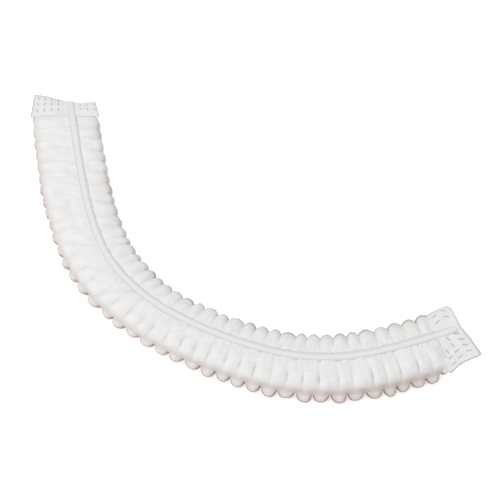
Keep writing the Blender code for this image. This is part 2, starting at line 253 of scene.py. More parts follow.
def section_curves():
    """Each column of the table at AROUND points, closest together where the grain is fine."""
    rows = {name: np.array(column(SECTION, name)) for name in Knot._fields}
    smooth = {name: catmull_rom(values, SMOOTH_STEPS) for name, values in rows.items()}
    reach = np.where(smooth["across"] > 0, OUTER_REACH, INNER_REACH)
    steps = np.hypot(np.diff(smooth["across"] * reach), np.diff(smooth["height"] * STRIP_HEIGHT))
    length = np.concatenate(([0.0], np.cumsum(steps)))
    grain = np.concatenate(([0.0], np.cumsum(steps * smooth["grain"][1:])))
    at = np.interp(np.linspace(0.0, grain[-1], AROUND), grain, length)
    return length[-1], {name: np.interp(at, length, values) for name, values in smooth.items()}


SECTION_LENGTH, CURVES = section_curves()
print(f"the folded section is {1000 * SECTION_LENGTH:.0f} mm long")

# %% [markdown]
# ## The puffs
# Between two creases the cloth stands up in a round puff. The photograph has soft swells at one end
# of the strip and domes with sharp notches at the other. A half sine raised to a power gives both:
# above one it is soft, and below one it is a dome. The lower row fills the gaps of the upper row,
# half a step further on. Its domes are rounder still, with a narrow gap between neighbours, so they
# have an outline of their own. No two real puffs are alike: a seeded table makes some fuller.

# %% Fullness, creases and wandering
rng = np.random.default_rng(7)
FLATTER_BY = 0.22
WANDER_BY = 0.14
FULLNESS = 1.0 - rng.uniform(0.0, FLATTER_BY, (2, PUFF_COUNT + 2))
WANDER = rng.uniform(-WANDER_BY, WANDER_BY, (3, PUFF_COUNT + 3))
DOME_HALF = 0.475
DOME_SIDES, DOME_TOP = 2.5, 0.45


def ease(share):
    """A soft step from 0 to 1, level at both ends."""
    share = np.clip(share, 0.0, 1.0)
    return share * share * (3.0 - 2.0 * share)


def wandered(distance, side):
    """The same distance in puffs, with every crease a little out of its even place."""
    turn = (distance - GATHER_START) / PUFF_PITCH
    at = np.arange(PUFF_COUNT + 3) - 1.0
    return turn + np.interp(turn, at, WANDER[side]) * ease(np.minimum(turn, PUFF_COUNT - turn))


def lost_height(distance, side, power):
    """1 in a crease between two upper puffs and near 0 over the middle of a puff."""
    turn = wandered(distance, side)
    number = np.clip(np.floor(turn).astype(int), 0, PUFF_COUNT + 1)
    return 1.0 - FULLNESS[0][number] * np.abs(np.sin(np.pi * turn)) ** power


def lower_dome(distance):
    """What a lower dome lacks of its fullness, and how far it is from the dome's middle."""
    turn = wandered(distance, 2) + 0.5
    number = np.clip(np.floor(turn).astype(int), 0, PUFF_COUNT + 1)
    aside = np.abs(turn - np.floor(turn) - 0.5) / DOME_HALF
    dome = np.clip(1.0 - aside ** DOME_SIDES, 0.0, 1.0) ** DOME_TOP
    return 1.0 - FULLNESS[1][number] * dome, aside


print("fullest and flattest puff:", FULLNESS.max().round(2), FULLNESS.min().round(2))

# %% [markdown]
# ## The sheet
# One grid of points makes the whole sheet: its columns follow the folded section and its rows the
# stations along the strip. numpy moves all the points at once, and Solidify gives the cloth its
# thickness afterwards. The shade painted into the colours needs to know where a crease or a turned
# edge is, and the grid knows that best, so it leaves those shares on its points as attributes.

# %% The sheet's points
ROWS_PER_PUFF = 16
SCALLOP_DEPTH = 0.0032
CREASE_DEPTH = 0.0016
LAYER_PITCH = 0.00038
LAYER_COUNT = 4
ROOT_TOP = 0.86
FREED_BY = 0.7
PRESSED_WIDTH = 0.94
# How far the sheet reaches under a tab, how much of a puff's height is lost in a crease before its
# underside leaves the ground, and how quickly the inner puffs give way to the outer ones.
TUCKED = 0.0004
UNDERSIDE_HELD = 0.35
SIDES_CHANGE = 4.0
# The powers of the upper puffs' outline where they are soft, and how much less where they are crisp.
OUTER_POWER, OUTER_POWER_LESS = 1.8, 1.4
INNER_POWER, INNER_POWER_LESS = 1.5, 0.9
INNER_RIM_FROM, INNER_RIM_WIDTH = 0.55, 0.35
stations = np.linspace(GATHER_START - TUCKED, GATHER_END + TUCKED, PUFF_COUNT * ROWS_PER_PUFF + 1)
ALONG, _ = np.meshgrid(stations, np.arange(AROUND), indexing="ij")
CURVE = {name: np.broadcast_to(values, ALONG.shape) for name, values in CURVES.items()}


def crease_lost():
    """How much of each puff is missing, from the upper row's rhythm and the lower row's."""
    crisp = form("crisp", ALONG)
    at_rim = ease((-CURVE["across"] - INNER_RIM_FROM) / INNER_RIM_WIDTH)
    upper_out = lost_height(ALONG, 0, OUTER_POWER - OUTER_POWER_LESS * crisp)
    upper_in = lost_height(ALONG, 1, INNER_POWER - INNER_POWER_LESS * np.maximum(crisp, at_rim))
    lower, _ = lower_dome(ALONG)
    mix = ease(CURVE["across"] * SIDES_CHANGE + 0.5)
    upper = upper_in + (upper_out - upper_in) * mix
    return upper + (lower - upper) * CURVE["lower"]


def root_middle(distance):
    """The height of the middle of the layers where a tab presses them together."""
    return ROOT_TOP * STRIP_HEIGHT * form("height", distance) - LAYER_COUNT / 2 * LAYER_PITCH


def sheet_points():
    """The sheet's points, with each one's place across, its lost share and how free of a tab it is."""
    lost = crease_lost()
    from_tab = np.minimum(ALONG - GATHER_START, GATHER_END - ALONG)
    free = ease(from_tab / (FREED_BY * PUFF_PITCH))
    outer = CURVE["across"] > 0
    reach = np.where(outer, OUTER_REACH * form("outer", ALONG), INNER_REACH * form("inner", ALONG))
    reach = reach * (1.0 + (form("shoulder", ALONG) - 1.0) * CURVE["upper"])
    reach = reach * np.where(outer, 1.0 + (form("low", ALONG) - 1.0) * CURVE["lower"], 1.0)
    scallop = SCALLOP_DEPTH * form("scallop", ALONG)
    across = CURVE["across"] * reach - np.sign(CURVE["across"]) * CURVE["bulge"] * scallop * lost
    across = across * (PRESSED_WIDTH + (1.0 - PRESSED_WIDTH) * free)
    strip = STRIP_HEIGHT * form("height", ALONG)
    held = np.maximum(lost - UNDERSIDE_HELD, 0.0)
    sunk = np.where(CURVE["rise"] < 0, CURVE["rise"] * held, CURVE["rise"] * lost)
    height = CLOTH_THICKNESS / 2 + CURVE["height"] * (strip - CLOTH_THICKNESS)
    height = height - sunk * CREASE_DEPTH * form("crease", ALONG)
    pressed = root_middle(ALONG) + (CURVE["level"] - (LAYER_COUNT - 1) / 2) * LAYER_PITCH
    height = pressed + (height - pressed) * free
    return place(ALONG, across, height), across, lost, free


POINTS, ACROSS, LOST, FREE = sheet_points()
print("sheet points:", POINTS.shape[0], "by", POINTS.shape[1])

# %% [markdown]
# ## Small wrinkles
# Nonwoven that is gathered onto an elastic never lies smooth. It has fine gathers close to the
# elastic, long streaks across the soft puffs and shallow dents all over. A bump in the material
# would show them in a render and leave the exported mesh smooth, so noise moves the points. Under
# the elastic the ribbon holds the cloth down, and it stays nearly flat.

# %% Gathers, streaks and dents
# Of each kind of wrinkle: its height, how long and how wide one is, and its own place in the noise.
Wrinkle = namedtuple("Wrinkle", "height long wide seed")
GATHERS = Wrinkle(0.0005, 0.0013, 0.0028, 3.7)
SCRIBBLE = Wrinkle(0.0003, 0.0010, 0.0024, 6.4)
STREAKS = Wrinkle(0.00075, 0.0026, 0.0120, 8.1)
GATHERS_FADE, SCRIBBLE_FADE, STREAKS_START = 0.0030, 0.0055, 0.0040
STREAKS_LESS = 0.65
DENT_SIZE, DENT_SEED = 0.0040, 11.3
DENT_HEIGHT_UNDER, DENT_HEIGHT_MORE = 0.00006, 0.00018
HELD_HALF, HELD_FADE = 0.0014, 0.0007
RAISED_FROM = 0.05
LEVELS_APART = 2.0


def noise_at(points, size, seed):
    """Smooth noise from -1 to 1 at each point."""
    flat = points.reshape(-1, points.shape[-1]) / size + seed
    return np.array([noise.noise(Vector(point)) for point in flat.tolist()]).reshape(points.shape[:-1])


def on_sheet(along_size, across_size):
    """Places on the sheet, in cells so long and so wide, that differ from layer to layer."""
    return np.stack((ALONG / along_size, ACROSS / across_size, CURVE["level"] * LEVELS_APART), axis=-1)


def wrinkled(kind):
    """How far one kind of wrinkle would move each point, before it fades anywhere."""
    return kind.height * noise_at(on_sheet(kind.long, kind.wide), 1.0, kind.seed)


def wrinkle_heights():
    """All the wrinkles together, each where it belongs."""
    from_ribbon = (np.abs(ACROSS) - ELASTIC_WIDTH / 2).clip(0.0)
    beside = ease((np.abs(ACROSS) - HELD_HALF) / HELD_FADE)
    gathers = wrinkled(GATHERS) * np.exp(-(from_ribbon / GATHERS_FADE) ** 2)
    scribble = wrinkled(SCRIBBLE) * np.exp(-(from_ribbon / SCRIBBLE_FADE) ** 2)
    soft = 1.0 - STREAKS_LESS * form("crisp", ALONG)
    streaks = wrinkled(STREAKS) * soft * ease(from_ribbon / STREAKS_START)
    dents = (DENT_HEIGHT_UNDER + DENT_HEIGHT_MORE * beside) * noise_at(POINTS, DENT_SIZE, DENT_SEED)
    raised = CURVE["height"] > RAISED_FROM
    return FREE * raised * (beside * (gathers + scribble) + streaks + dents)


WRINKLES = wrinkle_heights()
POINTS[..., 2] = np.maximum(POINTS[..., 2] + WRINKLES, CLOTH_THICKNESS / 2)
print(f"wrinkles up to {1000 * np.abs(WRINKLES).max():.2f} mm")

# %% [markdown]
# ## From points to a mesh
# Blender makes a mesh from a list of points and a list of faces that name them. The sheet, the tabs
# and the elastic are all grids, so one function serves them all. The UV map that it lays on each is
# measured in metres along the cloth, so the fibres keep their size on every piece. The grids have
# no thickness of their own; Solidify adds it, the same all over, without a second grid to look after.

# %% Grids into pieces


def path_lengths(points, axis):
    """Distances along a grid's rows or columns, for a map that is as wide as the cloth."""
    steps = np.linalg.norm(np.diff(points, axis=axis), axis=-1)
    start = np.zeros_like(np.take(steps, [0], axis=axis))
    return np.concatenate((start, np.cumsum(steps, axis=axis)), axis=axis)


def grid_object(name, points, shares):
    """A mesh object from a grid of points, with a UV map in metres and shares on its points."""
    rows, columns = points.shape[:2]
    index = np.arange(rows * columns).reshape(rows, columns)
    corners = (index[:-1, :-1], index[1:, :-1], index[1:, 1:], index[:-1, 1:])
    faces = np.stack(corners, axis=-1).reshape(-1, 4)
    mesh = bpy.data.meshes.new(name)
    mesh.from_pydata(points.reshape(-1, 3).tolist(), [], faces.tolist())
    uv = np.stack((path_lengths(points, 0), path_lengths(points, 1)), axis=-1).reshape(-1, 2)
    layer = mesh.uv_layers.new(name="cloth")
    layer.data.foreach_set("uv", uv[faces.reshape(-1)].astype(np.float32).ravel())
    for title, values in shares.items():
        mark = mesh.attributes.new(title, "FLOAT", "POINT")
        mark.data.foreach_set("value", np.ascontiguousarray(values, dtype=np.float32).ravel())
    mesh.polygons.foreach_set("use_smooth", [True] * len(mesh.polygons))
    made = bpy.data.objects.new(name, mesh)
    bpy.context.scene.collection.objects.link(made)
    return made


def thicken(thing, thickness):
    """Gives a grid its thickness, half to either side."""
    wall = thing.modifiers.new("cloth_thickness", "SOLIDIFY")
    wall.thickness = thickness
    wall.offset = 0.0
    return thing


print("grids become pieces through", grid_object.__name__, "and", thicken.__name__)

# %% [markdown]
# ## Where shade is painted on the cloth
# White cloth shows its form in small differences of light and shade, and here that shade is painted
# into the colour: thin shadow lines in the creases, browner turned edges, a shaded neck between the
# two rows of puffs, and a faint ring and a dark outline on each lower dome. A mask painted by hand
# would not follow the puffs. These shares are worked out from the same curves as the shapes, and the
# material only adds them up.

# %% Thin lines and stitches
# Painted shade: darker creases, thin shadow lines in them, and darker cloth next to a tab's root. The
# stitches are marks of their own, and the crisp puffs are a little darker all over.
LINE_WIDTH = 0.00028
LINE_FROM, LINE_TO, LINE_FADE = 0.40, 0.74, 0.12
LINE_DEPTH = rng.uniform(0.25, 1.0, PUFF_COUNT + 1)
STITCH_ACROSS, STITCH_WIDTH, STITCH_SIZE, STITCH_SEED = 0.0034, 0.0004, 0.0009, 2.2
CREASE_SHADE, LINE_SHADE, STITCH_TINT, CRISP_DARK, TAB_ROOT_SHADE = 0.14, 0.9, 0.35, 0.03, 0.16
TAB_ROOT_SHADE_LENGTH = 0.0016


def crease_lines():
    """Painted shadow lines in the creases of the upper puffs, some deep and some hardly there."""
    turn = wandered(ALONG, 0)
    nearest = np.clip(np.round(turn).astype(int), 0, PUFF_COUNT)
    thin = np.exp(-(np.abs(turn - nearest) * PUFF_PITCH / LINE_WIDTH) ** 2)
    across = CURVE["across"]
    window = ease((across - LINE_FROM) / LINE_FADE) * ease((LINE_TO - across) / LINE_FADE)
    return thin * window * CURVE["upper"] * LINE_DEPTH[nearest] ** 2 * form("crisp", ALONG)


def crease_shade_and_stitches():
    """Painted shade in creases and by a tab's root, the stitches' marks, and darker crisp puffs."""
    creased = np.clip(CURVE["rise"] + CURVE["bulge"], 0.0, 1.0) ** 2 * form("crease", ALONG)
    stitches = np.exp(-((ACROSS - STITCH_ACROSS) / STITCH_WIDTH) ** 2)
    stitches = stitches * noise_at(on_sheet(STITCH_SIZE, STITCH_SIZE), 1.0, STITCH_SEED).clip(0.0)
    from_tab = np.minimum(ALONG - GATHER_START, GATHER_END - ALONG).clip(0.0)
    share = CREASE_SHADE * creased * LOST ** 2 + LINE_SHADE * crease_lines() + STITCH_TINT * stitches
    tab_root_shade = TAB_ROOT_SHADE * np.exp(-(from_tab / TAB_ROOT_SHADE_LENGTH) ** 2)
    return FREE * share + CRISP_DARK * form("crisp", ALONG) + tab_root_shade


CREASE_SHADE_AND_STITCHES = crease_shade_and_stitches()
print("darkest crease:", CREASE_SHADE_AND_STITCHES.max().round(2))

# %% Rims, necks and lower domes
# Painted shade on a lower dome: its crown and how far it drops from there, the ring and the outline.
DOME_CROWN, DOME_DROP, DOME_SQUEEZE, DOME_FOOT = 0.42, 0.30, 0.65, 0.02
RING_OUT, RING_WIDTH = 0.58, 0.09
OUTLINE_OUT, OUTLINE_WIDTH = 0.72, 0.2
DOME_MIDDLE_SHADE, RING_SHADE, OUTLINE_SHADE = 0.17, 0.28, 0.74
# Painted shade on rims and necks where the puffs are soft, and how much more where they are crisp.
RIM_SHADE, RIM_SHADE_MORE = 0.8, 0.4
NECK_SHADE, NECK_SHADE_MORE, NECK_NARROWER = 0.85, 0.35, 0.35
RIM_DEPTH = rng.uniform(0.45, 1.15, PUFF_COUNT + 1)


def dome_shade():
    """Painted shade on a lower dome: lighter in its middle, a faint ring, and a dark outline."""
    _, aside = lower_dome(ALONG)
    downward = ((DOME_CROWN - CURVE["height"]) / DOME_DROP).clip(0.0) ** DOME_SQUEEZE
    out = np.hypot(aside, downward)
    ring = np.exp(-((out - RING_OUT) / RING_WIDTH) ** 2)
    outline = ease((out - OUTLINE_OUT) / OUTLINE_WIDTH)
    shade = DOME_MIDDLE_SHADE + RING_SHADE * ring + OUTLINE_SHADE * outline
    return shade * CURVE["lower"] * (CURVE["height"] > DOME_FOOT)


def turned_edge_shade():
    """Painted shade on each point for lying on a turned edge, in the neck or on a lower dome."""
    crisp = form("crisp", ALONG)
    inner = RIM_DEPTH[np.clip(wandered(ALONG, 1).astype(int), 0, PUFF_COUNT)]
    inner = inner * (RIM_SHADE + RIM_SHADE_MORE * crisp)
    neck = CURVE["shade"].clip(0.0) ** (1.0 + NECK_NARROWER * crisp)
    neck = neck * (NECK_SHADE + NECK_SHADE_MORE * ease(lower_dome(ALONG)[1]) * crisp)
    outer = np.maximum(neck, dome_shade()) * form("dusk", ALONG)
    share = np.where(CURVE["across"] > 0, outer, CURVE["shade"] * inner)
    return share * (0.5 + 0.5 * FREE)


# The crease attribute carries painted crease shade and the stitches; the turned one painted shade.
cloth = grid_object("cap_cloth", POINTS, {"crease": CREASE_SHADE_AND_STITCHES, "turned": turned_edge_shade()})
thicken(cloth, CLOTH_THICKNESS)
print("cap_cloth:", len(cloth.data.polygons), "faces before its thickness")

# %% [markdown]
# ## The welded tabs
# At both ends all the layers are pressed and welded into one thin, stiff, wavy tab, with rows of
# short dashes from the welding wheel. A bump map could draw the dashes, but then the exported mesh
# would be smooth, so the tab is a fine grid and each dash is pressed into its points.
# Each tab has a table for its end edge, from the inner corner to the outer one: how far the edge
# lies across, how far out it reaches, as a share of the tab's length, and how high it is, as a share
# of the strip's height. A second table lists its dashes: how far out from the root and how far
# across they lie, in millimetres, and how many degrees they are turned.

# %% A tab's edges and dashes
Edge = namedtuple("Edge", "side across reach height")
FIRST_EDGE = (
    Edge(-1.0, 0.96, 1.10, 0.12),
    Edge(-0.5, 0.98, 1.06, 0.16),
    Edge(0.0, 1.00, 1.08, 0.24),
    Edge(0.5, 0.93, 1.21, 0.36),
    Edge(1.0, 0.84, 1.30, 0.44),
)
LAST_EDGE = (
    Edge(-1.0, 0.97, 1.04, 0.80),
    Edge(-0.8, 0.99, 1.13, 0.87),
    Edge(-0.4, 1.00, 1.16, 0.90),
    Edge(0.0, 1.00, 1.20, 0.82),
    Edge(0.4, 0.96, 1.42, 0.76),
    Edge(0.8, 0.88, 1.50, 0.84),
    Edge(1.0, 0.84, 1.51, 0.93),
)
Dash = namedtuple("Dash", "out across turn")
FIRST_DASHES = (
    Dash(4.5, 6.4, 0), Dash(4.2, 10.0, 0), Dash(3.9, 13.6, 0), Dash(3.6, 17.3, 0),
    Dash(8.6, 6.0, 0), Dash(8.7, 9.5, 0), Dash(8.6, 13.0, 0), Dash(8.5, 16.5, 0),
    Dash(12.0, 5.7, 0), Dash(12.4, 9.1, 0), Dash(12.8, 12.5, 0), Dash(13.1, 15.8, 0),
    Dash(4.9, -4.9, 0), Dash(4.8, -8.6, 0), Dash(4.7, -12.2, 0),
    Dash(9.3, -5.2, 0), Dash(9.4, -8.5, 0), Dash(9.5, -12.4, 0),
)
LAST_DASHES = (
    Dash(8.4, -11.4, -28), Dash(8.6, -7.8, -36),
    Dash(3.2, -10.2, 20), Dash(3.5, -6.6, 25),
    Dash(10.0, 2.5, -15), Dash(10.6, 6.1, -12), Dash(11.5, 9.5, -18), Dash(12.2, 13.2, -12),
    Dash(5.0, 3.9, -60), Dash(5.8, 7.6, -65), Dash(6.4, 11.2, 20), Dash(7.0, 14.7, 20),
    Dash(2.1, 9.7, -70), Dash(2.6, 13.4, 30), Dash(3.0, 17.0, 30),
)
print(len(FIRST_DASHES), "dashes on the first tab and", len(LAST_DASHES), "on the last one")

# %% A tab's surface
TAB_WIDTH = 0.97
TAB_THICKNESS = 0.0004
ROOT_SUNK = 0.0001
TAB_WAVE, TAB_WAVE_LENGTH, TAB_WAVE_START = 0.0004, 0.0042, 1.3
# pinch narrows the root's inner side, and waist the middle of the outer side.
Tab = namedtuple("Tab", "name root length outward edge dashes dash_length pinch waist")
TABS = (
    Tab(
        name="welded_tab_first", root=GATHER_START, length=FIRST_TAB_LENGTH, outward=-1,
        edge=FIRST_EDGE, dashes=FIRST_DASHES, dash_length=0.0020, pinch=0.0, waist=0.0,
    ),
    Tab(
        name="welded_tab_last", root=GATHER_END, length=LAST_TAB_LENGTH, outward=1,
        edge=LAST_EDGE, dashes=LAST_DASHES, dash_length=0.0028, pinch=0.12, waist=0.06,
    ),
)


def edge_value(tab, name, side):
    """A column of a tab's edge, smooth from corner to corner."""
    sides = np.array(column(tab.edge, "side"))
    values = np.array(column(tab.edge, name))
    fine = np.linspace(0, len(sides) - 1, (len(sides) - 1) * SMOOTH_STEPS + 1)
    along = np.interp(fine, np.arange(len(sides)), sides)
    return np.interp(side, along, catmull_rom(values, SMOOTH_STEPS))


def tab_surface(tab, from_root, side):
    """Points in the middle of a tab, so far out from its root, at a share across."""
    share = np.maximum(from_root, 0.0) / tab.length
    across = TAB_WIDTH * side * np.where(side > 0, OUTER_REACH, INNER_REACH)
    across = across * (1.0 + (edge_value(tab, "across", side) - 1.0) * share)
    across = across * (1.0 - tab.pinch * (1.0 - share) ** 2 * ease(-side))
    across = across * (1.0 - tab.waist * np.sin(np.pi * share.clip(0.0, 1.0)) ** 2 * ease(side))
    reach = 1.0 + (edge_value(tab, "reach", side) - 1.0) * share
    root_height = root_middle(tab.root) + (LAYER_COUNT - 1) / 2 * LAYER_PITCH - ROOT_SUNK
    end_height = STRIP_HEIGHT * edge_value(tab, "height", side)
    height = root_height + (end_height - root_height) * share ** 2
    wave = np.sin(across / TAB_WAVE_LENGTH + TAB_WAVE_START * tab.outward)
    height = height + TAB_WAVE * share * wave
    return tab.root + tab.outward * from_root * reach, across, height


def from_root_at(tab, out, side):
    """The distance from a tab's root, before its edge's reach, for points so far out."""
    more = edge_value(tab, "reach", side) - 1.0
    return tab.length * (np.sqrt(1.0 + 4.0 * more * out / tab.length) - 1.0) / (2.0 * more)


print("the tabs are", [round(1000 * tab.length, 1) for tab in TABS], "mm long beside the elastic")

# %% A tab with its dashes
TAB_ROWS, TAB_COLUMNS = 90, 190
TAB_TUCKED = 0.0006
DASH_WIDTH, DASH_DEPTH, DASH_EDGE = 0.0008, 0.00016, 0.0002
PUCKER_HEIGHT, PUCKER_SIZE, PUCKER_SEED, PUCKER_START = 0.00025, 0.0030, 5.1, 3.0
SIDE_RIM_FROM, SIDE_RIM_WIDTH = 0.94, 0.06
END_RIM_FROM, END_RIM_WIDTH = 0.92, 0.08


def pressed_dashes(tab, out, across):
    """1 in the middle of a dash, 0 outside all of them."""
    pressed = np.zeros_like(out)
    for dash in tab.dashes:
        turn = math.radians(dash.turn)
        along, beside = out - dash.out / 1000, across - dash.across / 1000
        lengthwise = along * math.cos(turn) - beside * math.sin(turn)
        sideways = along * math.sin(turn) + beside * math.cos(turn)
        beyond_end = np.abs(lengthwise) - tab.dash_length / 2
        over = np.maximum(beyond_end, np.abs(sideways) - DASH_WIDTH / 2)
        pressed = np.maximum(pressed, ease(0.5 - over / DASH_EDGE / 2))
    return pressed


def make_tab(tab):
    """One welded tab, with its puckers, its pressed dashes and painted shade along its rim."""
    from_root = np.linspace(-TAB_TUCKED, tab.length, TAB_ROWS)
    from_root, side = np.meshgrid(from_root, np.linspace(-1.0, 1.0, TAB_COLUMNS), indexing="ij")
    distance, across, height = tab_surface(tab, from_root, side)
    pressed = pressed_dashes(tab, (distance - tab.root) * tab.outward, across)
    share = np.clip(from_root / tab.length, 0.0, 1.0)
    points = place(distance, across, height)
    puckers = PUCKER_HEIGHT * noise_at(points, PUCKER_SIZE, PUCKER_SEED)
    points[..., 2] += puckers * ease(share * PUCKER_START) - DASH_DEPTH * pressed
    points[..., 2] = np.maximum(points[..., 2], TAB_THICKNESS / 2)
    # Painted shade along the tab's sides and its end.
    side_rim = ease((np.abs(side) - SIDE_RIM_FROM) / SIDE_RIM_WIDTH)
    rim = np.maximum(side_rim, ease((share - END_RIM_FROM) / END_RIM_WIDTH))
    if tab.outward < 0:
        points, pressed, rim = points[::-1], pressed[::-1], rim[::-1]
    made = grid_object(tab.name, points, {"dash": pressed, "rim": rim})
    return thicken(made, TAB_THICKNESS)


tabs = [make_tab(tab) for tab in TABS]
print("tabs:", [tab.name for tab in tabs])

# %% [markdown]
# ## The elastic
# The elastic is a flat ribbon, a little thicker along its two edges, with fine ribs across. It runs
# over the upper hem and out over both tabs. Its ribs are less than two millimetres apart, which a
# modifier on a coarse strip can't give, so it is one more grid with its own rows.

# %% The elastic's ribbon
RIB_PITCH = 0.0014
STEPS_PER_RIB = 4
RIBBON_START = -0.0009
RIBBON_THICKNESS = 0.00014
RIBBON_LIFT = 0.00003
RIB_HEIGHT, EDGE_HEIGHT, EDGE_DROP = 0.00002, 0.00002, 0.00009
EDGE_LINE, EDGE_LINE_WIDTH = 0.82, 0.15
EDGE_DROP_FROM, EDGE_DROP_WIDTH = 0.86, 0.14
SMOOTHED_OVER = 9
HEM_COLUMNS = 12
HALF_SIDES = (0.35, 0.74, 0.80, 0.86, 0.92, 0.97, 1.0)
RIBBON_SIDES = [-side for side in reversed(HALF_SIDES)] + [0.0] + list(HALF_SIDES)


def hem_top(distance):
    """The height of the cloth that carries the elastic."""
    middle = np.abs(CURVES["across"][:HEM_COLUMNS]).argmin()
    return np.interp(distance, stations, POINTS[:, middle, 2]) + CLOTH_THICKNESS / 2


def ribbon_height(distance):
    """The ribbon's height, on the cloth between the tabs and on the tabs beyond them."""
    height = hem_top(distance)
    for tab in TABS:
        out = (distance - tab.root) * tab.outward
        middle = np.zeros_like(out)
        _, _, on_tab = tab_surface(tab, from_root_at(tab, np.maximum(out, 0.0), middle), middle)
        height = np.where(out > 0, np.maximum(on_tab + TAB_THICKNESS / 2, 0.0), height)
    padded_height = np.pad(height, SMOOTHED_OVER // 2, mode="edge")
    return np.convolve(padded_height, np.ones(SMOOTHED_OVER) / SMOOTHED_OVER, mode="valid")


def make_ribbon():
    """The elastic's ribbon, with its ribs, its thicker edges and their turned-down outer rims."""
    distance = np.arange(RIBBON_START, CAP_LENGTH, RIB_PITCH / STEPS_PER_RIB)
    along, side = np.meshgrid(distance, np.array(RIBBON_SIDES), indexing="ij")
    middle = ribbon_height(distance)[:, None] + RIBBON_THICKNESS / 2 + RIBBON_LIFT
    ribs = 0.5 + 0.5 * np.cos(2 * np.pi * along / RIB_PITCH)
    edge = np.exp(-((np.abs(side) - EDGE_LINE) / EDGE_LINE_WIDTH) ** 2)
    dropped = ease((np.abs(side) - EDGE_DROP_FROM) / EDGE_DROP_WIDTH)
    height = middle + RIB_HEIGHT * ribs + EDGE_HEIGHT * edge - EDGE_DROP * dropped
    points = place(along, side * ELASTIC_WIDTH / 2, height)
    made = grid_object("elastic_ribbon", points, {"edge_line": edge, "rib": ribs})
    return thicken(made, RIBBON_THICKNESS)


ribbon = make_ribbon()
print("elastic_ribbon:", len(ribbon.data.polygons), "faces before its thickness")

# %% [markdown]
# ## Writing materials
# A material is a sum of masks, and sums are easier to read as Python than as a web of nodes. One
# small class wraps a socket, so that a * b or 1 - a adds the Math node that does it. Colours and
# vectors keep to Mix and Vector Math, because a Math node would turn a colour grey.

# %% A socket that can be added and multiplied


class Value:
    """A socket of one material, with the sums that can be written on it."""

    def __init__(self, paint, socket):
        self.paint = paint
        self.socket = socket

    def math(self, operation, first, second):
        made = self.paint.node("ShaderNodeMath", {"operation": operation}, {0: first, 1: second})
        return made.outputs[0]

    def __add__(self, other):
        return Value(self.paint, self.math("ADD", self, other))

    def __sub__(self, other):
        return Value(self.paint, self.math("SUBTRACT", self, other))

    def __rsub__(self, other):
        return Value(self.paint, self.math("SUBTRACT", other, self))

    def __mul__(self, other):
        return Value(self.paint, self.math("MULTIPLY", self, other))

    __radd__ = __add__
    __rmul__ = __mul__


class Paint:
    """A material whose nodes are made by one method and whose numbers are Values."""

    def __init__(self, name):
        self.material = bpy.data.materials.new(name)
        self.material.use_nodes = True
        self.tree = self.material.node_tree
        self.shader = self.tree.nodes["Principled BSDF"]

    def node(self, kind, settings, sockets):
        """Any node: its settings are made first, and then its sockets are filled."""
        made = self.tree.nodes.new(kind)
        for name, value in settings.items():
            setattr(made, name, value)
        self.fill(made, sockets)
        return made

    def fill(self, node, sockets):
        """Links or sets a node's sockets, by name or number."""
        for name, value in sockets.items():
            if isinstance(value, Value):
                value = value.socket
            if isinstance(value, bpy.types.NodeSocket):
                self.tree.links.new(value, node.inputs[name])
            else:
                node.inputs[name].default_value = value

    def value(self, kind, settings, sockets, output=0):
        """Any node's output, as a Value."""
        return Value(self, self.node(kind, settings, sockets).outputs[output])

    def share(self, name):
        """A share that a grid left on its points."""
        return self.value("ShaderNodeAttribute", {"attribute_name": name}, {}, "Fac")

    def mix(self, factor, first, second):
        """A colour between two others."""
        made = self.node("ShaderNodeMix", {"data_type": "RGBA"}, {0: factor, 6: first, 7: second})
        return made.outputs[2]

    def scaled(self, vector, by):
        """A vector, multiplied along each of its axes."""
        made = self.node("ShaderNodeVectorMath", {"operation": "MULTIPLY"}, {0: vector, 1: by})
        return made.outputs[0]

    def bump(self, height, distance):
        """A normal from a height, so deep in metres."""
        sockets = {"Height": height, "Distance": distance, "Strength": 1.0}
        return self.node("ShaderNodeBump", {}, sockets).outputs[0]


print("materials are written with", Paint.__name__, "and", Value.__name__)

# %% [markdown]
# ## Nonwoven
# Spunbonded nonwoven is a mat of fine fibres, pressed together at small bonding points. It is matt
# and never looks woven. An image of real cloth would repeat, so long thin noise gives the fibres, a
# Voronoi pattern the bonding points and broad noise the thinner patches. The shares that the grids
# left on their points paint shade into the colour, darker and browner, in creases, on turned edges
# and on rims, and they make the welded dashes darker.

# %% The nonwoven's material
WHITE = (0.93, 0.93, 0.93, 1.0)
THIN_WHITE = (0.70, 0.70, 0.70, 1.0)
# SHADED is the brown-grey of the painted shade.
SHADED = (0.42, 0.33, 0.285, 1.0)
FIBRES_PER_METRE = (1400.0, 500.0, 1.0)
BONDS_PER_METRE = (900.0, 900.0, 1.0)
BLOTCHES_PER_METRE = 180.0
FIBRES_IN_TONE = 0.35
FIBRE_DEPTH = 0.00006
# How much the painted shade of turned edges and tab rims darkens the colour, how dark the dashes are,
# and how much darker the tabs are all over.
TURNED_DARK, DASH_DARK, RIM_DARK, TAB_DARK = 0.75, 0.6, 0.65, 0.04


